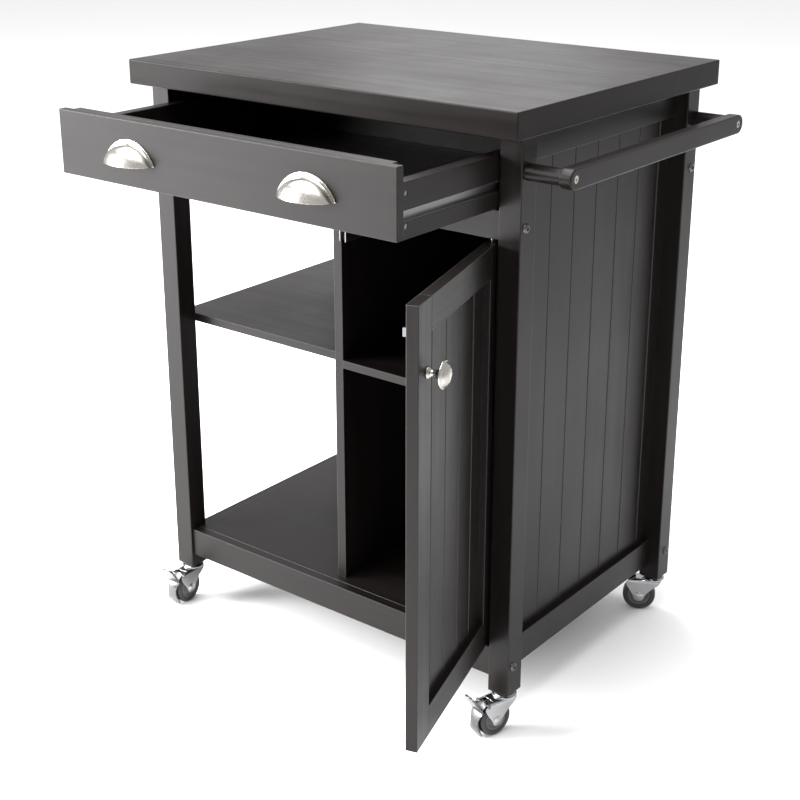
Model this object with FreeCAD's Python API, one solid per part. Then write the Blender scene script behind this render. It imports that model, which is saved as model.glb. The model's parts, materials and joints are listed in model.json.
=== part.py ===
import FreeCAD, Part

import math
import os

from FreeCAD import Vector

# Kitchen island cart. Units are millimetres and degrees.
# Frame: +Z up, -Y is the front (drawer and door side), +X is the towel bar side.
# The origin is on the floor, under the centre of the worktop.
# It is stored as it stands in use: drawer pulled out, door swung open.

# ---- driving dimensions -------------------------------------------------
TOP_LENGTH = 650.0          # worktop along X
TOP_DEPTH = 502.0           # worktop along Y
TOP_THICK = 34.0
TOP_HEIGHT = 850.0          # floor to the upper surface

CASTER_HEIGHT = 58.0        # floor to the underside of a leg
LEG = 32.0                  # square leg section
LEG_CHAMFER = 3.5           # round the foot of a leg
LEG_OUT_X = 313.0           # outer faces of the legs
LEG_OUT_Y = 221.0

RAIL_THICK = 15.0           # front and back rails
RAIL_SETBACK = 4.0          # rail face behind the leg face
SIDE_RAIL_THICK = 13.0      # their inner faces are flush with the legs'
SIDE_RAIL_OUT = 294.0       # outer faces of the side rails
LOW_RAIL_Z = (81.0, 124.0)
FRONT_RAIL_Z = (685.0, 722.0)
APRON_HEIGHT = 40.0

BOARD = 12.0                # shelves and drawer back
PANEL = 6.0                 # back panel and left runner
SIDE_PANEL = 3.5            # beadboard let into the legs and rails
TONGUE = 5.0                # how far thin panels are let into their frame
DIVIDER_THICK = 14.0
DIVIDER_FRONT = -190.0
OPEN_SHELF_TOP = 470.0
CABINET_SHELF_TOP = 462.0

DOOR_THICK = 15.0
DOOR_Z = (127.0, 680.0)
DOOR_FRAME = 40.0           # width of the stiles and rails
DOOR_PIVOT = (265.5, -209.5)
DOOR_GAP = 2.5              # hinge edge to leg
DOOR_OPEN = 106.6           # degrees at rest, from closed
PIVOT_R = 2.0
KNOB_R = 17.0
KNOB_OUT = 27.0             # how far the knob stands off the door

DRAWER_FACE = -219.5        # front face when shut
DRAWER_OUT = 196.0          # travel at rest, from shut
DRAWER_HALF = 279.5
DRAWER_Z = (725.0, 810.0)
DRAWER_FRONT_THICK = 12.0
BOX_HALF = 279.0            # outer faces of the drawer box
BOX_SIDE = 16.0
BOX_FRONT_THICK = 10.0
BOX_Z = (725.0, 791.0)
BOX_BACK = 192.0            # rear face of the box when shut

SLIDE_Z = (745.0, 758.5)    # groove in the drawer sides that the slides run in
SLIDE_DEPTH = 8.5
SLIDE_WALL = 0.9
SLIDE_HEIGHTS = (10.4, 13.1)  # fixed channel, moving channel
SLIDE_GAP = 1.8             # between the web of one channel and the lips of the other
SLIDE_LIP = 7.0
SLIDE_Y = (-205.0, 195.0)
SLIDE_MOVING_Y = (-205.0, 190.0)

BEAD_PITCH = 55.0           # side panel
DOOR_BEAD_PITCH = 48.0
GROOVE_WIDTH = 3.0
GROOVE_DEPTH = 2.0

TOWEL_X = (363.0, 380.0)
TOWEL_HALF = 222.0
TOWEL_Z = 772.5
TOWEL_HEIGHT = 26.0
POST_R = 10.5
POST_Y = 208.5

# Shelf pins: how far they go into their board and stand out under the shelf.
PIN_R = 2.5
PIN_IN = 3.0
PIN_OUT = 9.0

BOLT_R = 3.0
BOLT_Z = (102.5, 703.5)
NUT_R = 5.0
NUT_X = 252.0
NUT_LENGTH = 12.0
FIT = 0.05                  # radial running clearance

WHEEL_R = 25.0
WHEEL_WIDTH = 18.0
TRAIL = 20.0
AXLE_R = 3.0
STEM_R = 4.0
SOCKET_R = 6.0
SOCKET_DEPTH = 38.0
FORK_WALL = 2.0
FORK_HALF = 13.0            # outer faces of the fork plates
# Direction each caster trails in, degrees from +X, and whether it has a brake.
CASTERS = {
    "front_left": (-1, -1, -87.0, True),
    "front_right": (1, -1, -107.5, True),
    "back_left": (-1, 1, -101.5, False),
    "back_right": (1, 1, -152.7, False),
}
BRAKE_PIVOT = (35.0, 50.0)  # along the trail and above the floor
BRAKE_PIN_R = 2.0
BRAKE_PLATE = 3.0
BRAKE_GAP = 3.0             # between the tyre and the lever's bowed middle
BRAKE_ARC = (-42.0, 66.0)   # the bowed middle, in degrees about the axle
BRAKE_TIP = (59.0, 70.0)    # end of the upper paddle
BRAKE_FOOT = 38.0           # where the upper paddle leaves the bowed middle, in degrees
BRAKE_ROUND = 6.0           # rounded corners of the paddles
BRAKE_WAIST = 7.0           # half width of the bowed middle at its narrowest
BRAKE_SCALLOP = 20.0        # radius of the hollow at either side of the waist
BRAKE_MIDDLE = 27.0         # height of the waist

BOX_SCREW_Z = (740.0, 777.5)
SCREW_HEAD_R = 3.2

PULL_CENTRES = (-148.0, 148.0)
PULL_HALF = 41.0
PULL_R = 26.0
PULL_WALL = 1.6
PULL_RIM = 4.0
PULL_TOP = 786.0

# ---- derived places -----------------------------------------------------
LEG_TOP = TOP_HEIGHT - TOP_THICK
LEG_IN_X = LEG_OUT_X - LEG
LEG_IN_Y = LEG_OUT_Y - LEG
RAIL_FACE = LEG_OUT_Y - RAIL_SETBACK
RAIL_BACK = RAIL_FACE - RAIL_THICK
RAIL_MID = (RAIL_FACE + RAIL_BACK) / 2
SIDE_RAIL_IN = SIDE_RAIL_OUT - SIDE_RAIL_THICK
SHELF_Z = LOW_RAIL_Z[1]
CASTER_X = LEG_OUT_X - LEG / 2
CASTER_Y = LEG_OUT_Y - LEG / 2
DOOR_HINGE_X = LEG_IN_X - DOOR_GAP
DOOR_FREE_X = -DIVIDER_THICK / 2
DOOR_OUT_Y = -RAIL_FACE
DOOR_IN_Y = DOOR_OUT_Y + DOOR_THICK
CATCH_Z = 641.0


def box(x, y, z):
    """A block from three (low, high) pairs."""
    size = [high - low for low, high in (x, y, z)]
    return Part.makeBox(*size, Vector(x[0], y[0], z[0]))


def rod(radius, start, end):
    """A round bar between two points."""
    start, end = Vector(*start), Vector(*end)
    return Part.makeCylinder(radius, (end - start).Length, start, end - start)


def eased(shape, radius, keep=lambda edge: True):
    """The shape with its chosen edges rounded."""
    return shape.makeFillet(radius, [edge for edge in shape.Edges if keep(edge)])


def along(axis):
    """Chooses the straight edges that run along one axis."""
    direction = {"x": Vector(1, 0, 0), "y": Vector(0, 1, 0), "z": Vector(0, 0, 1)}[axis]

    def chosen(edge):
        line = edge.Vertexes[-1].Point - edge.Vertexes[0].Point
        return line.Length > 1 and abs(line.normalize().dot(direction)) > 0.999

    return chosen


def export(name, *solids):
    """Writes one node, which may be a group of separate solids."""
    shape = solids[0] if len(solids) == 1 else Part.makeCompound(list(solids))
    shape.exportStep("parts/" + name + ".step")


def export_drawer(name, *solids):
    """A node of the drawer, modelled shut and written at its rest travel."""
    export(name, *[moved(solid, -DRAWER_OUT) for solid in solids])


def export_door(name, *solids):
    """A node of the door, modelled closed and written at its rest angle."""
    turned = [solid.copy() for solid in solids]
    for solid in turned:
        solid.rotate(Vector(DOOR_PIVOT[0], DOOR_PIVOT[1], 0), Vector(0, 0, 1), DOOR_OPEN)
    export(name, *turned)


def moved(solid, dy):
    """A copy moved along Y."""
    copy = solid.copy()
    copy.translate(Vector(0, dy, 0))
    return copy


# ---- legs, rails and worktop ---------------------------------------------
def bolt_axes():
    """Every leg bolt as (side, y, z)."""
    for side in (-1, 1):
        for y in (-RAIL_MID, RAIL_MID):
            for z in BOLT_Z:
                yield side, y, z


def bolt_hole(side, y, z, length=90.0):
    """The clearance hole of one leg bolt, from outside the leg."""
    start = side * (LEG_OUT_X + 1)
    return rod(BOLT_R + 0.2, (start, y, z), (start - side * length, y, z))


def nut_body(side, y, z, radius, length):
    """A round bar across a rail at one bolt's end, running in from the rail's inner face."""
    inward = -1 if y > 0 else 1
    start = y + inward * RAIL_THICK / 2
    return rod(radius, (side * NUT_X, start, z), (side * NUT_X, start - inward * length, z))


def make_legs():
    for name, (side_x, side_y, _, _) in CASTERS.items():
        x = sorted((side_x * LEG_OUT_X, side_x * LEG_IN_X))
        y = sorted((side_y * LEG_OUT_Y, side_y * LEG_IN_Y))
        leg = box(x, y, (CASTER_HEIGHT, LEG_TOP))
        foot = [edge for edge in leg.Edges if edge.BoundBox.ZMax < CASTER_HEIGHT + 1]
        leg = eased(leg.makeChamfer(LEG_CHAMFER, foot), 1.2, along("z"))
        centre = (side_x * CASTER_X, side_y * CASTER_Y)
        leg = leg.cut(rod(SOCKET_R, (*centre, CASTER_HEIGHT - 1),
                          (*centre, CASTER_HEIGHT + SOCKET_DEPTH)))
        for side, bolt_y, z in bolt_axes():
            if side == side_x and bolt_y * side_y > 0:
                leg = leg.cut(bolt_hole(side, bolt_y, z))
        if side_x > 0:
            leg = leg.cut(towel_screw_hole(side_y)).cut(side_panel_blank())
        export("leg_" + name, leg)


def make_cross_rail(side_y, z):
    """A rail along X between two legs, bolted at both ends."""
    y = sorted((side_y * RAIL_FACE, side_y * RAIL_BACK))
    rail = eased(box((-LEG_IN_X, LEG_IN_X), y, z), 0.8, along("x"))
    for side, bolt_y, bolt_z in bolt_axes():
        if bolt_y * side_y > 0 and z[0] < bolt_z < z[1]:
            rail = rail.cut(bolt_hole(side, bolt_y, bolt_z))
            rail = rail.cut(nut_body(side, bolt_y, bolt_z, NUT_R + 0.1, NUT_LENGTH))
    return rail


def pivot_hole(low, high):
    """The running hole for one door pivot pin."""
    return rod(PIVOT_R + FIT, (*DOOR_PIVOT, low), (*DOOR_PIVOT, high))


def make_rails():
    low = make_cross_rail(-1, LOW_RAIL_Z)
    export("rail_front_bottom", low.cut(pivot_hole(LOW_RAIL_Z[1] - 10, LOW_RAIL_Z[1] + 5)))
    high = make_cross_rail(-1, FRONT_RAIL_Z)
    export("rail_front_top", high.cut(pivot_hole(FRONT_RAIL_Z[0] - 5, FRONT_RAIL_Z[0] + 10)))
    export("rail_back_bottom", make_cross_rail(1, LOW_RAIL_Z))
    export("rail_back_top", make_cross_rail(1, (FRONT_RAIL_Z[0], LEG_TOP)))
    for name, side in (("left", -1), ("right", 1)):
        x = sorted((side * SIDE_RAIL_IN, side * SIDE_RAIL_OUT))
        y = (-LEG_IN_Y, LEG_IN_Y)
        rail = eased(box(x, y, LOW_RAIL_Z), 0.8, along("y"))
        apron = eased(box(x, y, (LEG_TOP - APRON_HEIGHT, LEG_TOP)), 0.8, along("y"))
        export("rail_bottom_" + name, rail.cut(side_panel_blank()))
        export("apron_" + name, apron.cut(side_panel_blank()))


def make_worktop():
    top = box((-TOP_LENGTH / 2, TOP_LENGTH / 2), (-TOP_DEPTH / 2, TOP_DEPTH / 2), (LEG_TOP, TOP_HEIGHT))
    export("worktop", eased(top, 1.5))


def make_bolts():
    """Socket-head leg bolts with low domed heads, and the barrel nuts that they draw up."""
    bolts, nuts = [], []
    for side, y, z in bolt_axes():
        face = side * LEG_OUT_X
        head = rod(6.5, (face, y, z), (face + side * 3.0, y, z))
        head = eased(head, 2.0, lambda edge: abs(edge.BoundBox.Center.x) > LEG_OUT_X + 2.9)
        shank = rod(BOLT_R, (face, y, z), (side * (NUT_X - NUT_R - 4), y, z))
        key = rod(2.2, (face + side * 0.6, y, z), (face + side * 4, y, z))
        bolts.append(head.fuse(shank).cut(key))
        nuts.append(nut_body(side, y, z, NUT_R, NUT_LENGTH - 0.5).cut(bolt_hole(side, y, z)))
    export("leg_bolts", *bolts)
    export("barrel_nuts", *nuts)


# ---- panels and shelves --------------------------------------------------
def grooves(positions, face, depth, z, horizontal_axis):
    """Vertical V grooves cut into a panel's face, which lies at face on the other axis."""
    half = GROOVE_WIDTH / 2
    cuts = []
    for place in positions:
        corners = [(place - half, face), (place + half, face), (place, face - depth)]
        if horizontal_axis == "y":
            points = [Vector(b, a, z[0]) for a, b in corners]
        else:
            points = [Vector(a, b, z[0]) for a, b in corners]
        outline = Part.makePolygon(points + points[:1])
        cuts.append(Part.Face(outline).extrude(Vector(0, 0, z[1] - z[0])))
    return cuts


def side_panel_blank():
    """The side panel without its grooves, with the edges that are let into the frame."""
    x = (SIDE_RAIL_IN, SIDE_RAIL_IN + SIDE_PANEL)
    y = (-LEG_IN_Y - TONGUE, LEG_IN_Y + TONGUE)
    return box(x, y, (SHELF_Z - TONGUE, LEG_TOP - APRON_HEIGHT + TONGUE))


def make_panels():
    z = (SHELF_Z - TONGUE - 1, LEG_TOP)
    beads = [BEAD_PITCH * step for step in range(-3, 4)]
    side = side_panel_blank()
    side = side.cut(grooves(beads, SIDE_RAIL_IN + SIDE_PANEL, GROOVE_DEPTH, z, "y"))
    for pin in shelf_pins():
        side = side.cut(pin)
    export("side_panel", side)

    z = (SHELF_Z, FRONT_RAIL_Z[0] + PANEL)
    back = box((DIVIDER_THICK / 2, SIDE_RAIL_IN), (RAIL_BACK - PANEL, RAIL_BACK), z)
    beads = [DIVIDER_THICK / 2 + BEAD_PITCH * step for step in range(1, 5)]
    export("back_panel", back.cut(grooves(beads, RAIL_BACK, GROOVE_DEPTH, z, "x")))

    z = (DRAWER_Z[0] + 5, LEG_TOP - APRON_HEIGHT)
    runner = box((-SIDE_RAIL_IN - PANEL, -SIDE_RAIL_IN), (-LEG_IN_Y, LEG_IN_Y), z)
    export("runner_left", eased(runner, 0.8, along("y")))


def pin_places():
    """Shelf pins as (x face, into x, y, z) for the side that each pin is set in."""
    half = DIVIDER_THICK / 2
    for y in (-150.0, 150.0):
        yield half, 1, y, CABINET_SHELF_TOP - BOARD
        yield SIDE_RAIL_IN, -1, y, CABINET_SHELF_TOP - BOARD
        yield -half, -1, y, OPEN_SHELF_TOP - BOARD


def leg_pin_places():
    """Shelf pins set in the inner faces of the left legs as (y face, outward, z)."""
    for outward in (-1, 1):
        yield outward * LEG_IN_Y, outward, OPEN_SHELF_TOP - BOARD


def shelf_pins():
    """Plain round pins, half in their hole and half under a shelf."""
    pins = []
    for face, out, y, top in pin_places():
        pins.append(rod(PIN_R, (face - out * PIN_IN, y, top - PIN_R), (face + out * PIN_OUT, y, top - PIN_R)))
    x = -(LEG_IN_X + LEG_OUT_X) / 2
    for face, outward, top in leg_pin_places():
        pins.append(rod(PIN_R, (x, face, top - PIN_R), (x, face - outward * PIN_OUT, top - PIN_R)))
    return pins


def make_shelves():
    base = box((-SIDE_RAIL_IN, SIDE_RAIL_IN), (-RAIL_BACK, RAIL_BACK), (SHELF_Z - BOARD, SHELF_Z))
    export("shelf_bottom", base)

    half = DIVIDER_THICK / 2
    body = box((-half, half), (DIVIDER_FRONT, RAIL_BACK), (SHELF_Z, FRONT_RAIL_Z[0] + BOARD))
    nose = box((-half, half), (-RAIL_BACK, DIVIDER_FRONT), (FRONT_RAIL_Z[0], FRONT_RAIL_Z[0] + BOARD))
    divider = body.fuse(nose).removeSplitter()
    for pin in shelf_pins():
        divider = divider.cut(pin)
    export("divider", divider)

    y = LEG_IN_Y - 2
    shelf = box((-LEG_OUT_X + 2, -half - 1), (-y, y), (OPEN_SHELF_TOP - BOARD, OPEN_SHELF_TOP))
    export("shelf_open", eased(shelf, 1.0, along("y")))
    shelf = box((half + 1, SIDE_RAIL_IN - 1), (-LEG_IN_Y - 3, RAIL_BACK - PANEL - 2),
                (CABINET_SHELF_TOP - BOARD, CABINET_SHELF_TOP))
    export("shelf_cabinet", eased(shelf, 1.0, along("x")))
    export("shelf_pins", *shelf_pins())


# ---- towel bar -------------------------------------------------------------
def towel_screw_hole(side_y):
    """The pilot hole of one towel bar screw."""
    y = side_y * POST_Y
    return rod(2.0, (LEG_IN_X + 8, y, TOWEL_Z), (LEG_OUT_X + 1, y, TOWEL_Z))


def make_towel_bar():
    radius = TOWEL_HEIGHT / 2
    flat = TOWEL_HALF - radius
    bar = box(TOWEL_X, (-flat, flat), (TOWEL_Z - radius, TOWEL_Z + radius))
    for end in (-flat, flat):
        bar = bar.fuse(rod(radius, (TOWEL_X[0], end, TOWEL_Z), (TOWEL_X[1], end, TOWEL_Z)))
    bar = eased(bar.removeSplitter(), 2.0, lambda edge: edge.BoundBox.XLength < 0.01)
    posts, screws = [], []
    for side_y in (-1, 1):
        y = side_y * POST_Y
        shank = rod(2.2, (LEG_OUT_X - 1, y, TOWEL_Z), (TOWEL_X[1] + 1, y, TOWEL_Z))
        seat = rod(5.0, (TOWEL_X[1] - 3, y, TOWEL_Z), (TOWEL_X[1] + 1, y, TOWEL_Z))
        bar = bar.cut(shank).cut(seat)
        posts.append(rod(POST_R, (LEG_OUT_X, y, TOWEL_Z), (TOWEL_X[0], y, TOWEL_Z)).cut(shank))
        head = rod(4.8, (TOWEL_X[1] - 3, y, TOWEL_Z), (TOWEL_X[1] - 0.4, y, TOWEL_Z))
        body = rod(2.0, (LEG_IN_X + 8, y, TOWEL_Z), (TOWEL_X[1] - 3, y, TOWEL_Z))
        key = rod(2.2, (TOWEL_X[1] - 2, y, TOWEL_Z), (TOWEL_X[1], y, TOWEL_Z))
        screws.append(head.fuse(body).cut(key))
    export("towel_bar", bar)
    export("towel_posts", *posts)
    export("towel_screws", *screws)


# ---- drawer ------------------------------------------------------------------
def cup_pull(centre):
    """A half-moon cup: a quarter of a turned bowl on a thin rim plate, open below."""
    def bowl(half, radius):
        chord = [Vector(centre - half, 0, 0), Vector(centre + half, 0, 0)]
        arc = Part.Arc(chord[0], Vector(centre, 0, radius), chord[1])
        wire = Part.Wire([Part.LineSegment(*chord).toShape(), arc.toShape()])
        return Part.Face(wire)

    axis = (Vector(0, 0, 0), Vector(1, 0, 0))
    outer = bowl(PULL_HALF, PULL_R).revolve(*axis, 90)
    inner = bowl(PULL_HALF - PULL_WALL, PULL_R - PULL_WALL).revolve(*axis, 90)
    rim = bowl(PULL_HALF + PULL_RIM, PULL_R + PULL_RIM).extrude(Vector(0, -PULL_WALL, 0))
    pull = outer.cut(inner).fuse(rim)
    pull.translate(Vector(0, DRAWER_FACE, PULL_TOP - PULL_R - PULL_RIM))
    return pull


def pull_screw_places():
    for centre in PULL_CENTRES:
        for offset in (-30.0, 30.0):
            yield centre + offset, PULL_TOP - PULL_R - PULL_RIM + 5.0


def make_drawer():
    back_face = DRAWER_FACE + DRAWER_FRONT_THICK
    front = box((-DRAWER_HALF, DRAWER_HALF), (DRAWER_FACE, back_face), DRAWER_Z)
    front = eased(front, 1.0)
    box_back = back_face + BOX_FRONT_THICK
    inside = BOX_HALF - BOX_SIDE
    floor = box((-inside - TONGUE, inside + TONGUE), (box_back - TONGUE, BOX_BACK),
                (BOX_Z[0] + 6, BOX_Z[0] + 10))
    subfront = box((-inside, inside), (back_face, box_back), (BOX_Z[0] + 1, DRAWER_Z[1])).cut(floor)
    pulls = [cup_pull(centre) for centre in PULL_CENTRES]
    screws = []
    for x, z in pull_screw_places():
        hole = rod(2.1, (x, DRAWER_FACE - PULL_WALL - 1, z), (x, back_face + 6, z))
        front, subfront = front.cut(hole), subfront.cut(hole)
        pulls = [pull.cut(hole) for pull in pulls]
        shank = rod(2.0, (x, DRAWER_FACE - PULL_WALL, z), (x, back_face + 6, z))
        head = rod(3.4, (x, DRAWER_FACE - PULL_WALL - 1.6, z), (x, DRAWER_FACE - PULL_WALL, z))
        screws.append(shank.fuse(head))

    sides, side_screws = [], []
    for side in (-1, 1):
        board = box(sorted((side * BOX_HALF, side * inside)), (back_face, BOX_BACK), BOX_Z)
        board = eased(board, 0.8, along("y")).cut(floor)
        groove_x = sorted((side * (BOX_HALF + 1), side * (BOX_HALF - SLIDE_DEPTH)))
        board = board.cut(box(groove_x, (back_face - 1, BOX_BACK + 1), SLIDE_Z))
        for z in BOX_SCREW_Z:
            y = back_face + BOX_FRONT_THICK / 2
            screw = side_screw(side, y, z)
            board, subfront = board.cut(screw), subfront.cut(screw)
            board = board.cut(rod(SCREW_HEAD_R, (side * (BOX_HALF + 1), y, z), (side * (BOX_HALF - 3), y, z)))
            side_screws.append(screw)
        sides.append(board)
    back = box((-inside, inside), (BOX_BACK - BOARD, BOX_BACK), (BOX_Z[0] + 10, BOX_Z[1]))
    export_drawer("drawer_front", front)
    export_drawer("drawer_subfront", subfront)
    export_drawer("cup_pulls", *pulls)
    export_drawer("pull_screws", *screws)
    export_drawer("drawer_sides", *sides)
    export_drawer("drawer_screws", *side_screws)
    export_drawer("drawer_back", back)
    export_drawer("drawer_bottom", floor)


def side_screw(side, y, z):
    """One flat-headed screw through a drawer side, its head sunk 1 mm below the surface."""
    face = BOX_HALF - 1.0
    head = rod(SCREW_HEAD_R, (side * face, y, z), (side * (BOX_HALF - 3), y, z))
    return head.fuse(rod(1.8, (side * face, y, z), (side * (BOX_HALF - 30), y, z)))


def channel(side, web, lip, height, y):
    """A C channel along Y: its web's outer face is at web and its lips end at lip."""
    mid = (SLIDE_Z[0] + SLIDE_Z[1]) / 2
    z = (mid - height / 2, mid + height / 2)
    solid = box(sorted((side * web, side * lip)), y, z)
    step = SLIDE_WALL if lip > web else -SLIDE_WALL
    inside = sorted((side * (web + step), side * (lip + step)))
    return solid.cut(box(inside, (y[0] - 1, y[1] + 1), (z[0] + SLIDE_WALL, z[1] - SLIDE_WALL)))


def make_slides():
    """Two-part drawer slides: a fixed channel runs inside the channel in the drawer's groove."""
    web = BOX_HALF - SLIDE_DEPTH
    fixed, inner = [], []
    for side in (-1, 1):
        fixed.append(channel(side, SIDE_RAIL_IN, web + SLIDE_GAP, SLIDE_HEIGHTS[0], SLIDE_Y))
        inner.append(channel(side, web, web + SLIDE_LIP, SLIDE_HEIGHTS[1], SLIDE_MOVING_Y))
    export("slides_fixed", *fixed)
    export_drawer("slides_drawer", *inner)


# ---- door ----------------------------------------------------------------------
def make_door():
    y = (DOOR_OUT_Y, DOOR_IN_Y)
    recess = DOOR_OUT_Y + 9.0
    panel_y = (recess, recess + 4.0)
    tongue = 6.0
    inner_x = (DOOR_FREE_X + DOOR_FRAME, DOOR_HINGE_X - DOOR_FRAME)
    inner_z = (DOOR_Z[0] + DOOR_FRAME, DOOR_Z[1] - DOOR_FRAME)
    panel = box((inner_x[0] - tongue, inner_x[1] + tongue), panel_y,
                (inner_z[0] - tongue, inner_z[1] + tongue))

    pins = []
    for low, high in ((DOOR_Z[0] - 12, DOOR_Z[0] + 20), (DOOR_Z[1] - 20, DOOR_Z[1] + 14)):
        pins.append(rod(PIVOT_R, (*DOOR_PIVOT, low), (*DOOR_PIVOT, high)))

    hinge_stile = box((inner_x[1], DOOR_HINGE_X), y, DOOR_Z)
    hinge_stile = eased(hinge_stile, 1.0, along("z")).cut(panel)
    for pin in pins:
        hinge_stile = hinge_stile.cut(pin)
    free_stile = eased(box((DOOR_FREE_X, inner_x[0]), y, DOOR_Z), 1.0, along("z")).cut(panel)
    rails = []
    for z in ((DOOR_Z[0], inner_z[0]), (inner_z[1], DOOR_Z[1])):
        rails.append(box(inner_x, y, z).cut(panel))

    bead_places = [inner_x[0] + 25.0 + DOOR_BEAD_PITCH * step for step in range(4)]
    half = GROOVE_WIDTH / 2
    for place in bead_places:
        points = [Vector(place - half, recess, inner_z[0]), Vector(place + half, recess, inner_z[0]),
                  Vector(place, recess + GROOVE_DEPTH, inner_z[0])]
        notch = Part.Face(Part.makePolygon(points + points[:1]))
        panel = panel.cut(notch.extrude(Vector(0, 0, inner_z[1] - inner_z[0])))

    knob_x, knob_z = DOOR_FREE_X + 28.0, DOOR_Z[1] - 84.0
    hole = rod(2.2, (knob_x, DOOR_OUT_Y - 1, knob_z), (knob_x, DOOR_IN_Y + 1, knob_z))
    free_stile = free_stile.cut(hole)
    export_door("door_stile_hinge", hinge_stile)
    export_door("door_stile_free", free_stile)
    export_door("door_rails", *rails)
    export_door("door_panel", panel)
    export_door("door_pivot_pins", *pins)
    export_door("door_knob", knob(knob_x, knob_z))
    screw = rod(2.0, (knob_x, DOOR_OUT_Y - 8, knob_z), (knob_x, DOOR_IN_Y, knob_z))
    head = rod(4.2, (knob_x, DOOR_IN_Y, knob_z), (knob_x, DOOR_IN_Y + 2, knob_z))
    export_door("knob_screw", screw.fuse(head))
    plate = box((10.0, 22.0), (DOOR_IN_Y, DOOR_IN_Y + 1.5), (CATCH_Z - 14, CATCH_Z + 14))
    tongue = box((14.5, 17.5), (DOOR_IN_Y + 1.5, DOOR_IN_Y + 12), (CATCH_Z - 5, CATCH_Z + 5))
    export_door("catch_strike", plate.fuse(tongue))


def knob(x, z):
    """A turned mushroom knob with a blind screw hole, its stem towards the door face."""
    profile = [(0, 8.0), (2.1, 8.0), (2.1, 0), (7.5, 0), (7.5, 2.5), (5.0, 6.0), (5.0, 14.0), (12.0, 17.5)]
    points = [Vector(x + r, DOOR_OUT_Y - out, z) for r, out in profile]
    edges = [Part.LineSegment(a, b).toShape() for a, b in zip(points, points[1:])]
    rise = 6.0
    crown_r = (KNOB_R ** 2 + rise ** 2) / (2 * rise)
    half_turn = math.asin(KNOB_R / crown_r) / 2
    rim = Vector(x + KNOB_R, DOOR_OUT_Y - KNOB_OUT + rise, z)
    tip = Vector(x, DOOR_OUT_Y - KNOB_OUT, z)
    crown = Vector(x + crown_r * math.sin(half_turn),
                   DOOR_OUT_Y - KNOB_OUT + crown_r * (1 - math.cos(half_turn)), z)
    edges.append(Part.LineSegment(points[-1], rim).toShape())
    edges.append(Part.Arc(rim, crown, tip).toShape())
    edges.append(Part.LineSegment(tip, points[0]).toShape())
    return Part.Face(Part.Wire(edges)).revolve(points[0], Vector(0, 1, 0), 360)


def make_catch():
    """A spring catch on the divider: a base plate and two arms that grip the strike."""
    face = DIVIDER_THICK / 2
    z = (CATCH_Z - 7, CATCH_Z + 7)
    base = box((face, 21.5), (DIVIDER_FRONT + 10, DIVIDER_FRONT + 26), z)
    arms = box((face + 3.5, face + 5.0), (DIVIDER_FRONT - 8, DIVIDER_FRONT + 10), z)
    arms = arms.fuse(box((20.0, 21.5), (DIVIDER_FRONT - 8, DIVIDER_FRONT + 10), z))
    export("door_catch", base.fuse(arms).removeSplitter())


# ---- casters ---------------------------------------------------------------------
def placed(solid, name):
    """A caster piece, modelled trailing along +X under the origin, put under its leg."""
    side_x, side_y, heading, _ = CASTERS[name]
    solid = solid.copy()
    solid.rotate(Vector(0, 0, 0), Vector(0, 0, 1), heading)
    solid.translate(Vector(side_x * CASTER_X, side_y * CASTER_Y, 0))
    return solid


def side_plate(outline, start, end):
    """A flat plate with its outline in the wheel's plane, from one width to another."""
    points = [Vector(t, start, z) for t, z in outline]
    return Part.Face(Part.makePolygon(points + points[:1])).extrude(Vector(0, end - start, 0))


def fork():
    """Stamped fork: stem, collar, crown and two tapering side plates."""
    stem = rod(STEM_R, (0, 0, 54), (0, 0, CASTER_HEIGHT + SOCKET_DEPTH - 4))
    collar = rod(17.0, (0, 0, 53), (0, 0, CASTER_HEIGHT - 0.3))
    collar = eased(collar, 1.2, lambda edge: edge.Length > 50)
    crown = box((-13, 26), (-FORK_HALF, FORK_HALF), (51.8, 53.8))
    crown = eased(crown, 6.0, lambda edge: along("z")(edge) and edge.BoundBox.Center.x < 0)
    body = stem.fuse(collar).fuse(crown)
    outline = [(-12, 53), (40, 53), (40, 45), (27, 21), (13, 21), (-8, 45)]
    for side in (-1, 1):
        w = side * FORK_HALF
        plate = side_plate(outline, w, w - side * FORK_WALL)
        plate = eased(plate, 4.0, lambda edge: along("y")(edge) and edge.BoundBox.Center.z < 50)
        plate = eased(plate, 4.0, lambda edge: along("y")(edge) and edge.BoundBox.Center.x > 39.9)
        boss = rod(7.0, (TRAIL, w, WHEEL_R), (TRAIL, w - side * FORK_WALL, WHEEL_R))
        body = body.fuse(plate.fuse(boss))
    body = body.removeSplitter()
    hole = rod(AXLE_R + 0.02, (TRAIL, -20, WHEEL_R), (TRAIL, 20, WHEEL_R))
    t, z = BRAKE_PIVOT
    pivot = rod(BRAKE_PIN_R + FIT, (t, -20, z), (t, 20, z))
    return body.cut(hole).cut(pivot)


def axle():
    """The wheel's axle, riveted over at both ends."""
    ends = FORK_HALF + 1.6
    pin = rod(AXLE_R, (TRAIL, -ends, WHEEL_R), (TRAIL, ends, WHEEL_R))
    for side in (-1, 1):
        head = rod(5.0, (TRAIL, side * (FORK_HALF + 0.05), WHEEL_R), (TRAIL, side * ends, WHEEL_R))
        pin = pin.fuse(head)
    return pin


def wheel():
    """The hub and the rubber tyre around it."""
    half = WHEEL_WIDTH / 2
    hub = rod(16.0, (TRAIL, -half - 1, WHEEL_R), (TRAIL, half + 1, WHEEL_R))
    hub = hub.cut(rod(AXLE_R + FIT, (TRAIL, -20, WHEEL_R), (TRAIL, 20, WHEEL_R)))
    tyre = rod(WHEEL_R, (TRAIL, -half, WHEEL_R), (TRAIL, half, WHEEL_R))
    tyre = eased(tyre, 3.0, lambda edge: edge.Length > 50)
    tyre = tyre.cut(rod(16.0, (TRAIL, -20, WHEEL_R), (TRAIL, 20, WHEEL_R)))
    return hub, tyre


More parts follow.
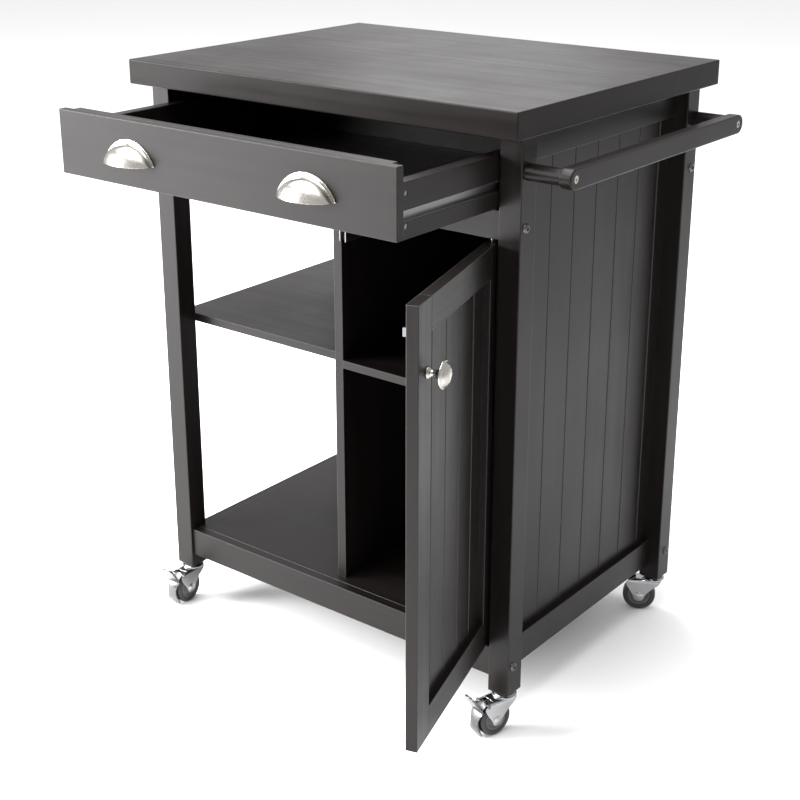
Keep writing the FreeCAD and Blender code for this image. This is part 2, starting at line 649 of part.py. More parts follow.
def brake():
    """A foot lever bowed round the front of the tyre, with a paddle at its top and its bottom."""
    half = FORK_HALF - FORK_WALL - 0.4
    near = WHEEL_R + BRAKE_GAP
    ends = ((TRAIL, -half, WHEEL_R), (TRAIL, half, WHEEL_R))
    ring = rod(near + BRAKE_PLATE, *ends).cut(rod(near, *ends))
    reach = 2 * near
    turns = [math.radians(angle) for angle in (BRAKE_ARC[0], sum(BRAKE_ARC) / 2, BRAKE_ARC[1])]
    wedge = [(TRAIL, WHEEL_R)] + [(TRAIL + reach * math.cos(a), WHEEL_R + reach * math.sin(a)) for a in turns]
    lever = ring.common(side_plate(wedge, -half, half))
    foot = math.radians(BRAKE_FOOT)
    middle = near + BRAKE_PLATE / 2
    start = Vector(TRAIL + middle * math.cos(foot), 0, WHEEL_R + middle * math.sin(foot))
    tip = Vector(BRAKE_TIP[0], 0, BRAKE_TIP[1])
    run = (tip - start).normalize()
    out = Vector(-run.z, 0, run.x) * (BRAKE_PLATE / 2)
    corners = [start + out, tip + out, tip - out, start - out]
    lever = lever.fuse(side_plate([(p.x, p.z) for p in corners], -half, half))
    lever = eased(lever, BRAKE_ROUND, lambda edge: abs(edge.Length - BRAKE_PLATE) < 0.02)
    for side in (-1, 1):
        w = side * (BRAKE_WAIST + BRAKE_SCALLOP)
        lever = lever.cut(rod(BRAKE_SCALLOP, (TRAIL, w, BRAKE_MIDDLE), (TRAIL + reach, w, BRAKE_MIDDLE)))
    t, z = BRAKE_PIVOT
    return lever.fuse(rod(BRAKE_PIN_R, (t, -FORK_HALF - 1.5, z), (t, FORK_HALF + 1.5, z))).removeSplitter()


def make_casters():
    sockets = []
    for name, (side_x, side_y, _, has_brake) in CASTERS.items():
        centre = (side_x * CASTER_X, side_y * CASTER_Y)
        top = CASTER_HEIGHT + SOCKET_DEPTH
        sleeve = rod(SOCKET_R, (*centre, CASTER_HEIGHT), (*centre, top))
        sockets.append(sleeve.cut(rod(STEM_R + FIT, (*centre, CASTER_HEIGHT - 1), (*centre, top - 2))))
        export("caster_fork_" + name, placed(fork(), name), placed(axle(), name))
        hub, tyre = wheel()
        export("wheel_hub_" + name, placed(hub, name))
        export("wheel_tyre_" + name, placed(tyre, name))
        if has_brake:
            export("brake_" + name, placed(brake(), name))
    export("caster_sockets", *sockets)


os.makedirs("parts", exist_ok=True)
make_worktop()
make_legs()
make_rails()
make_bolts()
make_panels()
make_shelves()
make_towel_bar()
make_drawer()
make_slides()
make_door()
make_catch()
make_casters()
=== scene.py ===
import json
import math

import bmesh
import bpy
from mathutils import Matrix, Vector


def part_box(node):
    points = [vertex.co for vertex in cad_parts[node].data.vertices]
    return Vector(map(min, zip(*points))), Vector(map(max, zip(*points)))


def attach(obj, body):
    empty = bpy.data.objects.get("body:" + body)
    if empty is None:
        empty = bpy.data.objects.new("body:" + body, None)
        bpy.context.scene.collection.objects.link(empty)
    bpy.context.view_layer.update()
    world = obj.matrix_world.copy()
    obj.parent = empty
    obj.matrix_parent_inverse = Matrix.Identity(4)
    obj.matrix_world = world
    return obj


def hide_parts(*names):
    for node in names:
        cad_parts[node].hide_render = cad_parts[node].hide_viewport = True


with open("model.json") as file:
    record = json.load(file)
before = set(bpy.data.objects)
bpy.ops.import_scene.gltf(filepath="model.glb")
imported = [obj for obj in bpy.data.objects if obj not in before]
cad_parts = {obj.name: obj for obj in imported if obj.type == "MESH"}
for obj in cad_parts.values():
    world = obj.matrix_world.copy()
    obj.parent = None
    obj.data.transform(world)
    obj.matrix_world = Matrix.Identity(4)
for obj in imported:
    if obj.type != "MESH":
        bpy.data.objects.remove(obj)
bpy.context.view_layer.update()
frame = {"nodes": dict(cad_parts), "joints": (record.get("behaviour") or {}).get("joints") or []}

# Looks for the kitchen island cart, in metres and in the CAD model's own frame:
# +Z up, -Y the front with the drawer and door, +X the towel bar side.
NODES = frame["nodes"]
JOINTS = {joint["name"]: joint for joint in frame["joints"]}
CORNERS = ("front_left", "front_right", "back_left", "back_right")
DOOR_ANGLE = math.radians(106.6)    # how far the door stands open at rest
MM = 0.001

# ---- camera, floor and light ---------------------------------------------------
CAMERA_PLACE = (1.2432, -1.6398, 1.1604)
CAMERA_YAW = math.radians(38.089)
CAMERA_PITCH = math.radians(19.529)
CAMERA_LENS = 66.22
CAMERA_RISE = 0.07                  # vertical shift, as a share of the frame
FLOOR_HALF = 12.0                   # half the floor's side
FLOOR_TONE = (0.93, 0.93, 0.93, 1)
FLOOR_ROUGHNESS = 0.8
WORLD_TONE = (1.0, 1.0, 1.0, 1)
WORLD_STRENGTH = 0.90
# Name, place, what it points at, width and length, and power in watts.
AREA_LIGHTS = (("overhead", (-0.9, -0.9, 3.2), (-0.7, -0.7, 0), (3.2, 3.2), 370),
               ("key_left", (-2.6, -2.5, 1.3), (-0.8, -1.2, 0.1), (1.5, 1.5), 320),
               ("back_left", (-1.7, 2.5, 1.95), (0, 0, 0.85), (0.9, 0.5), 4.5))


def make_camera():
    data = bpy.data.cameras.new("camera")
    data.lens = CAMERA_LENS
    data.shift_y = -CAMERA_RISE
    camera = bpy.data.objects.new("camera", data)
    camera.location = CAMERA_PLACE
    camera.rotation_euler = (math.pi / 2 - CAMERA_PITCH, 0, CAMERA_YAW)
    bpy.context.scene.collection.objects.link(camera)
    bpy.context.scene.camera = camera


def make_floor():
    mesh = bpy.data.meshes.new("floor")
    corners = [(x * FLOOR_HALF, y * FLOOR_HALF, 0) for x, y in ((-1, -1), (1, -1), (1, 1), (-1, 1))]
    mesh.from_pydata(corners, [], [(0, 1, 2, 3)])
    floor = bpy.data.objects.new("floor", mesh)
    bpy.context.scene.collection.objects.link(floor)
    material = bpy.data.materials.new("floor_pale")
    material.use_nodes = True
    shader = material.node_tree.nodes["Principled BSDF"]
    shader.inputs["Base Color"].default_value = FLOOR_TONE
    shader.inputs["Roughness"].default_value = FLOOR_ROUGHNESS
    mesh.materials.append(material)


def make_area_light(name, place, target, size, power):
    data = bpy.data.lights.new(name, "AREA")
    data.shape = "RECTANGLE"
    data.size, data.size_y = size
    data.energy = power
    light = bpy.data.objects.new(name, data)
    light.location = place
    aim = Vector(target) - Vector(place)
    light.rotation_euler = aim.to_track_quat("-Z", "Y").to_euler()
    light.visible_camera = False
    bpy.context.scene.collection.objects.link(light)


def make_light():
    """Soft even light that leaves the floor white, stronger from the front left."""
    bpy.context.scene.view_settings.view_transform = "Standard"
    world = bpy.data.worlds.new("studio")
    world.use_nodes = True
    background = world.node_tree.nodes["Background"]
    background.inputs["Color"].default_value = WORLD_TONE
    background.inputs["Strength"].default_value = WORLD_STRENGTH
    bpy.context.scene.world = world
    for name, place, target, size, power in AREA_LIGHTS:
        make_area_light(name, place, target, size, power)


# ---- shader helpers --------------------------------------------------------------
EDGE_SAMPLES = 6
EDGE_NONE, EDGE_FULL = 0.995, 0.90  # softened normal against true normal, on a flat face and on an edge


class Shader:
    """A material under construction, with short ways to add the nodes used here."""

    def __init__(self, name):
        self.material = bpy.data.materials.new(name)
        self.material.use_nodes = True
        self.tree = self.material.node_tree
        self.surface = self.tree.nodes["Principled BSDF"]

    def node(self, kind, **settings):
        made = self.tree.nodes.new(kind)
        for name, value in settings.items():
            setattr(made, name, value)
        return made

    def link(self, source, target):
        self.tree.links.new(source, target)

    def put(self, **values):
        """Sets constants on the surface shader's own sockets."""
        for name, value in values.items():
            self.surface.inputs[name.replace("_", " ").title()].default_value = value

    def stretched(self, scale, turn=0.0):
        """Object coordinates turned about Z, then scaled, for grain that runs along one axis."""
        coordinates = self.node("ShaderNodeTexCoord").outputs["Object"]
        turned = self.node("ShaderNodeMapping", vector_type="POINT")
        turned.inputs["Rotation"].default_value = (0, 0, -turn)
        scaled = self.node("ShaderNodeMapping", vector_type="POINT")
        scaled.inputs["Scale"].default_value = scale
        self.link(coordinates, turned.inputs["Vector"])
        self.link(turned.outputs["Vector"], scaled.inputs["Vector"])
        return scaled.outputs["Vector"]

    def noise(self, vector, scale=1.0, detail=4.0, roughness=0.55):
        made = self.node("ShaderNodeTexNoise")
        made.inputs["Scale"].default_value = scale
        made.inputs["Detail"].default_value = detail
        made.inputs["Roughness"].default_value = roughness
        self.link(vector, made.inputs["Vector"])
        return made.outputs["Fac"]

    def ramp(self, value, low, high, out_low=0.0, out_high=1.0):
        """Maps a value from one range to another, clamped."""
        made = self.node("ShaderNodeMapRange")
        limits = {"From Min": low, "From Max": high, "To Min": out_low, "To Max": out_high}
        for socket, number in limits.items():
            made.inputs[socket].default_value = number
        self.link(value, made.inputs["Value"])
        return made.outputs["Result"]

    def math(self, operation, first, second):
        made = self.node("ShaderNodeMath", operation=operation)
        for socket, value in zip(made.inputs, (first, second)):
            if isinstance(value, (int, float)):
                socket.default_value = value
            else:
                self.link(value, socket)
        return made.outputs["Value"]

    def mix(self, share, first, second):
        """Mixes two colours, each a tuple or a socket."""
        made = self.node("ShaderNodeMix", data_type="RGBA")
        self.link(share, made.inputs["Factor"])
        for socket, value in zip((made.inputs[6], made.inputs[7]), (first, second)):
            if isinstance(value, tuple):
                socket.default_value = (*value, 1)
            else:
                self.link(value, socket)
        return made.outputs[2]

    def edge_mask(self, radius):
        """About 1 on outer edges and 0 on flat faces."""
        bevel = self.node("ShaderNodeBevel", samples=EDGE_SAMPLES)
        bevel.inputs["Radius"].default_value = radius
        self.soft_normal = bevel.outputs["Normal"]
        geometry = self.node("ShaderNodeNewGeometry")
        dot = self.node("ShaderNodeVectorMath", operation="DOT_PRODUCT")
        self.link(bevel.outputs["Normal"], dot.inputs[0])
        self.link(geometry.outputs["Normal"], dot.inputs[1])
        return self.ramp(dot.outputs["Value"], EDGE_NONE, EDGE_FULL)

    def bump(self, height, strength, distance):
        """Relief on the surface, over the softened normal that edge_mask leaves."""
        made = self.node("ShaderNodeBump")
        made.inputs["Strength"].default_value = strength
        made.inputs["Distance"].default_value = distance
        self.link(height, made.inputs["Height"])
        self.link(self.soft_normal, made.inputs["Normal"])
        self.link(made.outputs["Normal"], self.surface.inputs["Normal"])

    def colour(self, socket):
        self.link(socket, self.surface.inputs["Base Color"])

    def roughness(self, socket):
        self.link(socket, self.surface.inputs["Roughness"])


# ---- materials -------------------------------------------------------------------
GRAIN_ALONG, GRAIN_ACROSS = 3, 90   # noise scale along the fibres and across them
FIGURE_SHARE = 6                    # how many fibres wide the broader figure is
MOTTLE_SCALE = (7, 7, 7)
WOOD_EDGE, METAL_EDGE, MOULDED_EDGE = 0.0012, 0.0006, 0.0008
WOOD_RELIEF, FINE_RELIEF = 0.0006, 0.0002


def painted_wood(name, axis, base, gloss=0.36, grain=1.0, turn=0.0, shine=0.19):
    """Dark satin paint over wood, with the grain along one axis showing through."""
    shader = Shader(name)
    shader.surface.inputs["Specular IOR Level"].default_value = shine
    along = tuple(GRAIN_ALONG if axis == letter else GRAIN_ACROSS for letter in "xyz")
    broad = tuple(value / FIGURE_SHARE for value in along)
    fibre = shader.noise(shader.stretched(along, turn), detail=6.0)
    figure = shader.noise(shader.stretched(broad, turn), detail=2.0)
    mottle = shader.noise(shader.stretched(MOTTLE_SCALE), detail=3.0)
    dark = tuple(value * 0.80 for value in base)
    light = tuple(value * 1.22 for value in base)
    tone = shader.mix(shader.ramp(fibre, 0.35, 0.65), dark, light)
    tone = shader.mix(shader.ramp(mottle, 0.3, 0.7, 0.0, 0.35), tone, base)
    # Lighter colour on the outer edges, in patches: partly wear on the paint, partly a painted highlight
    # for light catching the eased edges.
    wear_and_highlight = tuple(min(value * 5.0 + 0.07, 1.0) for value in base)
    patchy = shader.ramp(mottle, 0.35, 0.75, 0.45, 0.95)
    edge = shader.math("MULTIPLY", shader.edge_mask(WOOD_EDGE), patchy)
    shader.colour(shader.mix(edge, tone, wear_and_highlight))
    uneven = shader.math("ADD", fibre, mottle)
    shader.roughness(shader.ramp(uneven, 0.7, 1.3, gloss - 0.05, gloss + 0.07))
    height = shader.math("ADD", shader.math("MULTIPLY", fibre, 0.6), shader.math("MULTIPLY", figure, 0.4))
    shader.bump(height, 0.16 * grain, WOOD_RELIEF)
    return shader.material


def metal(name, base, gloss, brushed=(400, 400, 400), strength=0.05):
    """Plated metal with fine brushing and slight dulling in patches."""
    shader = Shader(name)
    shader.put(metallic=1.0)
    lines = shader.noise(shader.stretched(brushed), detail=3.0)
    patches = shader.noise(shader.stretched((28, 28, 28)), detail=2.0)
    dull = tuple(value * 0.86 for value in base)
    tone = shader.mix(shader.ramp(patches, 0.3, 0.7), dull, base)
    bright = tuple(min(value * 1.15, 1.0) for value in base)
    shader.colour(shader.mix(shader.edge_mask(METAL_EDGE), tone, bright))
    uneven = shader.math("ADD", lines, patches)
    shader.roughness(shader.ramp(uneven, 0.7, 1.3, gloss - 0.05, gloss + 0.08))
    shader.bump(lines, strength, FINE_RELIEF)
    return shader.material


def moulded(name, base, gloss, speckle=900, strength=0.12):
    """Moulded rubber or plastic with a fine matt texture and scuffed edges."""
    shader = Shader(name)
    fine = shader.noise(shader.stretched((speckle, speckle, speckle)), detail=2.0)
    patches = shader.noise(shader.stretched((60, 60, 60)), detail=4.0)
    dusty = tuple(min(value * 1.5 + 0.01, 1.0) for value in base)
    tone = shader.mix(shader.ramp(patches, 0.35, 0.75, 0.0, 0.6), base, dusty)
    scuffed = tuple(min(value * 2.0 + 0.03, 1.0) for value in base)
    shader.colour(shader.mix(shader.edge_mask(MOULDED_EDGE), tone, scuffed))
    shader.roughness(shader.ramp(patches, 0.3, 0.7, gloss - 0.06, gloss + 0.08))
    shader.bump(fine, strength, FINE_RELIEF)
    return shader.material


PAINT = (0.0066, 0.0049, 0.0047)
GRAIN_AXES = {
    "x": ("rail_front_bottom", "rail_front_top", "rail_back_bottom", "rail_back_top", "shelf_bottom",
          "shelf_open", "shelf_cabinet", "towel_posts", "drawer_front", "drawer_subfront", "drawer_back",
          "drawer_bottom"),
    "y": ("rail_bottom_left", "rail_bottom_right", "apron_left", "apron_right", "runner_left",
          "towel_bar", "drawer_sides"),
    "z": ("leg_front_left", "leg_front_right", "leg_back_left", "leg_back_right", "side_panel",
          "back_panel", "divider", "door_stile_hinge", "door_stile_free", "door_panel"),
}


def paint_node(name, material):
    """Gives one carried-over CAD node its material."""
    slots = NODES[name].data.materials
    slots.clear()
    slots.append(material)


def paint_wood():
    """Paints the wooden parts, the door's rails with their grain turned as the door stands."""
    for axis, names in GRAIN_AXES.items():
        material = painted_wood("paint_along_" + axis, axis, PAINT)
        for name in names:
            paint_node(name, material)
    paint_node("door_rails", painted_wood("paint_door_rails", "x", PAINT, turn=DOOR_ANGLE))
    worktop = painted_wood("paint_worktop", "x", PAINT, gloss=0.32, grain=0.8, shine=0.10)
    paint_node("worktop", worktop)


def finish_hardware():
    """Paints the metal, rubber and plastic, and makes the handles and casters."""
    nickel = metal("satin_nickel", (0.42, 0.40, 0.37), 0.24, strength=0.015)
    zinc = metal("bright_zinc", (0.42, 0.42, 0.43), 0.20)
    lever = metal("lever_steel", (0.15, 0.15, 0.155), 0.26)
    steel = metal("slide_steel", (0.22, 0.22, 0.23), 0.38, brushed=(500, 8, 500))
    dark = metal("dark_steel", (0.10, 0.10, 0.10), 0.30)
    rubber = moulded("tyre_rubber", (0.012, 0.012, 0.012), 0.50)
    grey = moulded("grey_plastic", (0.07, 0.07, 0.07), 0.42)
    groups = {
        nickel: ("pull_screws", "knob_screw", "towel_screws"),
        steel: ("slides_fixed", "slides_drawer", "shelf_pins", "barrel_nuts", "caster_sockets",
                "door_pivot_pins", "door_catch", "catch_strike", "drawer_screws"),
    }
    for material, names in groups.items():
        for name in names:
            paint_node(name, material)
    make_handles(nickel)
    make_leg_bolts(dark)
    for corner in CORNERS:
        make_caster(corner, zinc, rubber, grey, lever)


# ---- mesh helpers ----------------------------------------------------------------
CORNER_SHARE = 0.45     # the most of a straight run that one softened corner may take
ON_AXIS = 1e-6          # a radius under this is a point on the axis


def rounded(points, radius, steps=4):
    """An open outline with its corners softened by short curves."""
    softened = [tuple(points[0])]
    for before, here, after in zip(points, points[1:], points[2:]):
        before, here, after = Vector(before), Vector(here), Vector(after)
        back, on = before - here, after - here
        start = here + back.normalized() * min(radius, back.length * CORNER_SHARE)
        end = here + on.normalized() * min(radius, on.length * CORNER_SHARE)
        for step in range(steps + 1):
            on_share = step / steps
            off_share = 1 - on_share
            point = start * off_share ** 2 + here * 2 * on_share * off_share + end * on_share ** 2
            softened.append(tuple(point))
    return softened + [tuple(points[-1])]


def turned(profile, steps=72, ring=False):
    """A body turned about Z from (radius, height) points; a ring's profile closes on itself."""
    body = bmesh.new()
    loops = []
    for radius, height in profile:
        count = steps if radius > ON_AXIS else 1
        angles = [2 * math.pi * step / count for step in range(count)]
        loop = [(radius * math.cos(angle), radius * math.sin(angle), height) for angle in angles]
        loops.append([body.verts.new(point) for point in loop])
    pairs = list(zip(loops, loops[1:]))
    if ring:
        pairs.append((loops[-1], loops[0]))
    for low, high in pairs:
        for step in range(steps):
            following = (step + 1) % steps
            corners = (low[step % len(low)], low[following % len(low)],
                       high[following % len(high)], high[step % len(high)])
            corners = list(dict.fromkeys(corners))
            if len(corners) > 2:
                body.faces.new(corners)
    return body


def shell(rows, thickness):
    """A closed thin shell over a grid of points, thickened to one side, or the other if negative."""
    body = bmesh.new()
    grid = [[body.verts.new(point) for point in row] for row in rows]
    for low, high in zip(grid, grid[1:]):
        for a, b, c, d in zip(low, low[1:], high[1:], high):
            body.faces.new((a, b, c, d))
    body.normal_update()
    bmesh.ops.solidify(body, geom=body.faces[:], thickness=thickness)
    return body


def standing(origin, axis):
    """The placement that puts a turned body's foot at origin with its Z along axis."""
    return Matrix.Translation(origin) @ Vector(axis).to_track_quat("Z", "Y").to_matrix().to_4x4()


def add_piece(name, body, material, rides, place, replaces=None, sharp=38):
    """Makes an object from a mesh drawn in millimetres and lets it ride a body of the CAD model."""
    bmesh.ops.recalc_face_normals(body, faces=body.faces[:])
    bmesh.ops.scale(body, vec=(MM, MM, MM), verts=body.verts[:])
    mesh = bpy.data.meshes.new(name)
    body.to_mesh(mesh)
    body.free()
    mesh.shade_smooth()
    mesh.set_sharp_from_angle(angle=math.radians(sharp))
    mesh.materials.append(material)
    made = bpy.data.objects.new(name, mesh)
    bpy.context.scene.collection.objects.link(made)
    made.matrix_world = place
    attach(made, rides)
    if replaces:
        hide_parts(replaces)
    return made


# ---- handles -----------------------------------------------------------------------
PULL_CENTRES = (-148.0, 148.0)
PULL_HALF = 41.0        # half width of the bowl
PULL_RISE = 26.0        # height of the bowl, and how far it stands out
PULL_RIM = 4.0          # width of the flange around the bowl
PULL_WALL = 1.5
PULL_GAP = 0.1          # the least gap between the pull and the drawer's front
PULL_STEP = 0.05        # how far the bowl's foot stands out of the flange
PULL_SPREAD = 0.992     # the outermost columns stop short of the arch's feet
PULL_COLUMNS = 64
# From the flange to the lip, as shares of how far out and how high: a level top, a belly, a flared lip.
PULL_SECTION = ((0.06, 1.0), (0.072, 0.975), (0.11, 0.955), (0.20, 0.935), (0.31, 0.91), (0.42, 0.875),
                (0.53, 0.825), (0.63, 0.76), (0.72, 0.675), (0.80, 0.575), (0.865, 0.46), (0.912, 0.34),
                (0.943, 0.23), (0.957, 0.14), (0.968, 0.075), (0.985, 0.03), (1.0, 0.0))


def arch(half, rise, x):
    """Height of a circular arch of that half width and rise, at x from its middle."""
    radius = (half * half + rise * rise) / (2 * rise)
    return max(math.sqrt(max(radius * radius - x * x, 0.0)) - (radius - rise), 0.0)


def cup_pull():
    """Half-moon cup pull about its own foot: X along the drawer, -Y out of the front, Z up."""
    rows = []
    for column in range(PULL_COLUMNS + 1):
        across = -math.cos(math.pi * column / PULL_COLUMNS) * PULL_SPREAD
        rim_x = across * (PULL_HALF + PULL_RIM)
        bowl_x = across * PULL_HALF
        rim_z = arch(PULL_HALF + PULL_RIM, PULL_RISE + PULL_RIM, rim_x)
        bowl_z = arch(PULL_HALF, PULL_RISE, bowl_x)
        out = PULL_RISE * math.sqrt(1 - across * across)
        row = [(rim_x, -PULL_WALL, rim_z), (bowl_x, -PULL_WALL - PULL_STEP, bowl_z)]
        for depth, height in PULL_SECTION:
            row.append((bowl_x, min(-out * depth, -PULL_WALL - PULL_GAP), bowl_z * height))
        rows.append(row)
    return shell(rows, PULL_WALL - PULL_GAP)


KNOB_FOOT = (21.0, -217.0, 596.0)   # where the knob meets the closed door, in millimetres
KNOB_EASE = 0.6
KNOB_PROFILE = ((0, 0), (7.5, 0), (7.5, 1.3), (6.6, 1.9), (6.2, 2.8), (4.6, 4.4), (4.1, 7.0), (4.3, 10.5),
                (5.6, 13.6), (9.5, 15.6), (14.2, 16.6), (16.6, 17.4), (17.0, 18.6), (16.6, 19.8),
                (15.4, 20.4), (14.6, 20.5), (13.8, 21.6), (11.6, 23.9), (8.2, 25.7), (4.2, 26.7), (0, 27.0))


def make_handles(nickel):
    """Two cup pulls on the drawer and the knob on the door, which stands open."""
    foot_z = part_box("cup_pulls")[0][2]
    face_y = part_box("drawer_front")[0][1]
    for centre, side in zip(PULL_CENTRES, ("left", "right")):
        place = Matrix.Translation((centre * MM, face_y, foot_z))
        add_piece("cup_pull_" + side, cup_pull(), nickel, "drawer", place, "cup_pulls")
    hinge = Vector(JOINTS["door_hinge"]["pos_m"])
    closed = Vector(KNOB_FOOT) * MM
    turn = Matrix.Rotation(DOOR_ANGLE, 4, "Z")
    foot = hinge + turn @ (closed - hinge)
    place = standing(foot, turn @ Vector((0, -1, 0)))
    knob = turned(rounded(KNOB_PROFILE, KNOB_EASE, 2))
    add_piece("door_knob_turned", knob, nickel, "door", place, "door_knob")


# ---- leg bolts -----------------------------------------------------------------------
BOLT_HEAD = ((0, 1.0), (2.5, 1.0), (2.5, 2.7), (2.9, 3.0), (3.9, 2.75), (5.2, 2.0), (6.2, 0.9), (6.5, 0.0),
             (6.5, -0.1))
BOLT_SHANK = ((3.0, -0.1), (3.0, -56.0), (2.2, -58.0), (0, -58.0))
BOLT_SOCKET = 2.5       # radius of the hex socket's corners
BOLT_RISE = 3.0         # height of the head above the leg's face
BOLT_STEPS = 48


def leg_bolt():
    """Button-head bolt about Z with its head above the leg's face at 0."""
    bolt = turned(BOLT_HEAD + BOLT_SHANK, BOLT_STEPS)
    for vertex in bolt.verts:
        radius = math.hypot(vertex.co.x, vertex.co.y)
        if vertex.co.z > 0 and abs(radius - BOLT_SOCKET) < 1e-4:
            angle = math.atan2(vertex.co.y, vertex.co.x) % (math.pi / 3) - math.pi / 6
            flat = math.cos(math.pi / 6) / math.cos(angle)
            vertex.co.x *= flat
            vertex.co.y *= flat
    return bolt


def make_leg_bolts(dark):
    """Eight bolts, through the outer side of each leg near its top and its foot."""
    low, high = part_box("leg_bolts")
    head = BOLT_HEAD[-1][0] * MM
    face = high.x - BOLT_RISE * MM
    count = 0
    for side in (-1, 1):
        for y in (low.y + head, high.y - head):
            for z in (low.z + head, high.z - head):
                count += 1
                place = standing(Vector((side * face, y, z)), (side, 0, 0))
                add_piece("leg_bolt_%d" % count, leg_bolt(), dark, "frame", place, "leg_bolts")


# ---- casters -------------------------------------------------------------------------
# Height of the fork's side plate, with its back and front edges along the trail.
FORK_EDGES = ((17.4, 17.6, 22.4), (17.9, 15.9, 24.1), (19.2, 14.0, 26.0), (21.5, 12.6, 27.4),
              (25.0, 11.7, 28.4), (29.0, 9.6, 30.6), (34.0, 5.4, 34.0), (39.0, 0.4, 37.0),
              (43.0, -4.6, 39.2), (46.0, -8.2, 40.0), (49.3, -11.0, 40.0))
FORK_INNER = 11.0           # from the middle to the inner face of each plate
FORK_WALL = 2.0
FORK_BEND_STEPS = 4
FORK_COLUMNS = 10
CROWN_Z = 51.8
CROWN_EDGES = (-13.0, 26.0)
CROWN_ACROSS = (-5, 0, 5)   # where the flat crown is divided
TYRE_HALF = ((16.05, 8.3), (16.9, 8.9), (20.6, 9.0), (21.2, 8.6), (21.8, 8.95), (23.0, 8.7), (24.1, 7.7),
             (24.75, 6.0), (25.0, 3.2))
HUB_HALF = ((3.06, 9.9), (5.2, 10.0), (6.0, 9.4), (6.5, 7.4), (8.4, 6.3), (12.4, 6.5), (13.9, 8.2),
            (15.0, 8.7), (16.0, 8.3))
COLLAR = ((0, 53.2), (14.5, 53.2), (16.2, 53.5), (17.0, 54.3), (17.0, 55.3), (16.3, 56.1), (14.9, 56.4),
          (14.6, 57.0), (13.6, 57.6), (3.9, 57.65), (3.9, 88.0), (0, 88.0))
COLLAR_EASE = 0.5
FORK_SHARP = 50
AXLE_STEPS, TYRE_STEPS = 40, 96
AXLE_HALF = ((0, 14.6), (2.4, 14.5), (4.1, 13.9), (4.8, 13.4), (6.9, 13.3), (7.2, 13.06), (3.0, 13.06))


def mirrored(half):
    """A profile given on one side of the middle, followed down its other side."""
    return [(radius, -height) for radius, height in half] + list(reversed(half))


def fork():
    """One stamped strip: up one side plate's inner face, under the crown and down the other plate."""
    side = [(FORK_INNER, z, back, front) for z, back, front in FORK_EDGES]
    bend = CROWN_Z - FORK_EDGES[-1][0]
    for step in range(1, FORK_BEND_STEPS + 1):
        share = step / FORK_BEND_STEPS
        turn = math.radians(90 * share)
        w = FORK_INNER - bend * (1 - math.cos(turn))
        z = FORK_EDGES[-1][0] + bend * math.sin(turn)
        back = FORK_EDGES[-1][1] + share * (CROWN_EDGES[0] - FORK_EDGES[-1][1])
        front = FORK_EDGES[-1][2] + share * (CROWN_EDGES[1] - FORK_EDGES[-1][2])
        side.append((w, z, back, front))
    strip = [(-w, z, back, front) for w, z, back, front in side]
    strip += [(w, CROWN_Z, *CROWN_EDGES) for w in CROWN_ACROSS]
    strip += side[::-1]
    rows = []
    for w, z, back, front in strip:
        rows.append([(back + (front - back) * k / FORK_COLUMNS, w, z) for k in range(FORK_COLUMNS + 1)])
    return shell(rows, -FORK_WALL)


# The brake lever in the wheel's plane, in millimetres along the trail and above the floor.
TRAIL, WHEEL_R = 20.0, 25.0
LEVER_MIDDLE = 29.5         # radius of the bowed strip about the axle
LEVER_ARC = (-42.0, 38.0)   # the bowed strip, in degrees, from the lower end to the paddle's foot
LEVER_TIP = (59.0, 70.0)
LEVER_LUG = 66.0            # where the lug above the pivot pin ends, in degrees
LUG_HALF = 8.0              # half width of the lug, which turns between the fork's bends
LEVER_HALF = 10.6
LEVER_ROUND = 6.0
LEVER_WALL = 2.6
LEVER_EASE = 4.0
LEVER_COLUMNS = 5           # divisions on each side of the strip's middle
LEVER_STEP, LUG_STEP = 8, 6     # degrees between the rows of each strip
LUG_ROWS = 7
LEVER_SHARP = 60
LEVER_PIN = (35.0, 50.0)
LEVER_BOW = 0.7             # how far the strip's middle stands out of its edges
LEVER_WAIST = (27.0, 7.0, 20.0)     # height of the waist, its half width and the hollow's radius
PIN_HALF = ((0, 14.4), (1.2, 14.4), (1.8, 14.1), (2.0, 13.6))
PIN_STEPS = 24


def about_axle(radius, angles):
    """Points of the wheel's plane at that radius about the axle."""
    turns = [math.radians(angle) for angle in angles]
    return [(TRAIL + radius * math.cos(turn), WHEEL_R + radius * math.sin(turn)) for turn in turns]


def divided(path, step=1.2):
    """The path with its long runs divided, for a strip with a smooth outline."""
    points = [path[0]]
    for start, end in zip(path, path[1:]):
        count = max(1, round(math.dist(start, end) / step))
        points += [tuple(a + (b - a) * k / count for a, b in zip(start, end)) for k in range(1, count + 1)]
    return points


def lever_strip(path, half_width, round_last=True):
    """A bent strip along a path, rounded at its ends and narrowed at the waist."""
    path = divided(path)
    run = [0.0]
    for start, end in zip(path, path[1:]):
        run.append(run[-1] + math.dist(start, end))
    height, half, radius = LEVER_WAIST
    rows = []
    for place, (t, z) in zip(run, path):
        end = min(place, run[-1] - place) if round_last else place
        inset = max(LEVER_ROUND - end, 0.0)
        wide = half_width - LEVER_ROUND + math.sqrt(max(LEVER_ROUND ** 2 - inset ** 2, 0.0))
        if abs(z - height) < radius:
            wide = min(wide, half + radius - math.sqrt(radius ** 2 - (z - height) ** 2))
        outward = Vector((t - TRAIL, z - WHEEL_R)).normalized()
        row = []
        for k in range(-LEVER_COLUMNS, LEVER_COLUMNS + 1):
            bow = LEVER_BOW * (1 - (k / LEVER_COLUMNS) ** 2)
            row.append((t + outward.x * bow, wide * k / LEVER_COLUMNS, z + outward.y * bow))
        rows.append(row)
    return shell(rows, LEVER_WALL)


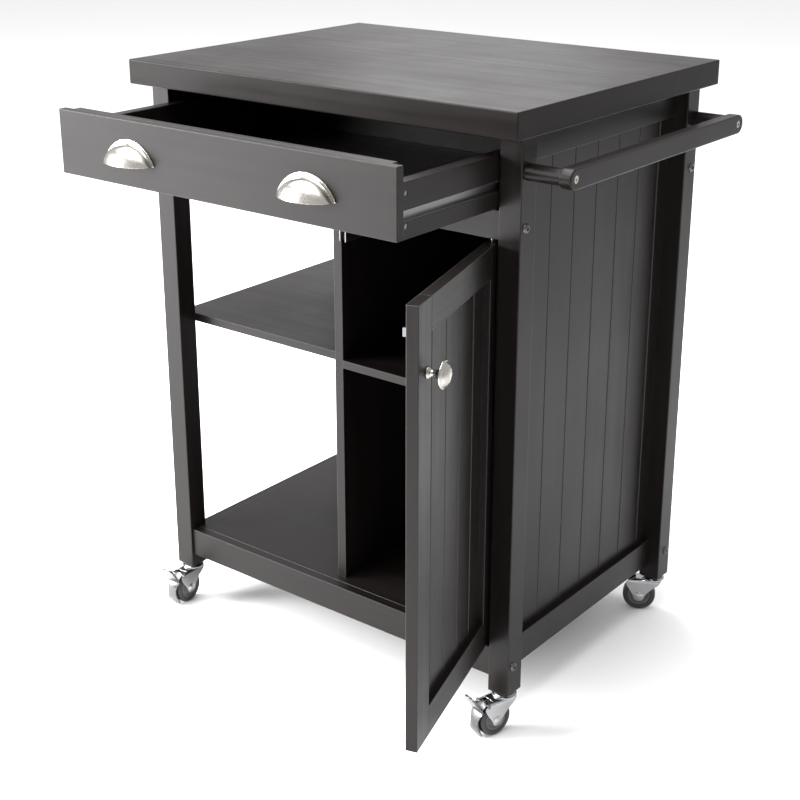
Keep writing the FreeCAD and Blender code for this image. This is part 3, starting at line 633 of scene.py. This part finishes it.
def make_brake(corner, place, steel):
    """The lever that bends around the wheel, its lug between the fork's plates and its pivot pin."""
    rides = "brake_lever_" + corner
    inner = LEVER_MIDDLE - LEVER_WALL / 2
    low, high = LEVER_ARC
    bowed = about_axle(inner, [high - LEVER_STEP * k for k in range(int((high - low) / LEVER_STEP) + 1)])
    strip = lever_strip(rounded([LEVER_TIP] + bowed, LEVER_EASE), LEVER_HALF)
    add_piece("lever_" + corner, strip, steel, rides, place, "brake_" + corner, LEVER_SHARP)
    lug_path = about_axle(inner, [LEVER_LUG - LUG_STEP * k for k in range(LUG_ROWS)])
    lug = lever_strip(lug_path, LUG_HALF, round_last=False)
    add_piece("lever_lug_" + corner, lug, steel, rides, place, sharp=LEVER_SHARP)
    across = place.to_3x3() @ Vector((0, 1, 0))
    middle = place @ (Vector((LEVER_PIN[0], 0, LEVER_PIN[1])) * MM)
    pin = turned(mirrored(PIN_HALF), PIN_STEPS)
    add_piece("lever_pin_" + corner, pin, steel, rides, standing(middle, across))


def make_caster(corner, zinc, rubber, grey, lever):
    """One caster, placed and turned by its own two joints, with a brake where the model has one."""
    swivel = Vector(JOINTS["swivel_" + corner]["pos_m"])
    roll = JOINTS["roll_" + corner]
    axle = Vector(roll["pos_m"])
    across = Vector(roll["axis"]).normalized()
    trail = Vector((axle.x - swivel.x, axle.y - swivel.y, 0)).normalized()
    local = Matrix((trail, across, Vector((0, 0, 1)))).transposed().to_4x4()
    local.translation = (swivel.x, swivel.y, 0)
    rides = "caster_" + corner
    node = "caster_fork_" + corner
    add_piece("fork_" + corner, fork(), zinc, rides, local, node, FORK_SHARP)
    upright = Matrix.Translation((swivel.x, swivel.y, 0))
    collar = turned(rounded(COLLAR, COLLAR_EASE, 2))
    add_piece("collar_" + corner, collar, zinc, rides, upright)
    spindle = standing(axle, across)
    pin = turned(mirrored(AXLE_HALF), AXLE_STEPS)
    add_piece("axle_" + corner, pin, zinc, rides, spindle)
    wheel = "wheel_" + corner
    hub = turned(mirrored(HUB_HALF[::-1])[::-1], ring=True)
    add_piece("hub_" + corner, hub, grey, wheel, spindle, "wheel_hub_" + corner)
    tyre = turned(mirrored(TYRE_HALF), TYRE_STEPS, ring=True)
    add_piece("tyre_" + corner, tyre, rubber, wheel, spindle, "wheel_tyre_" + corner)
    if "brake_" + corner in NODES:
        make_brake(corner, local, lever)


make_camera()
make_floor()
make_light()
paint_wood()
finish_hardware()
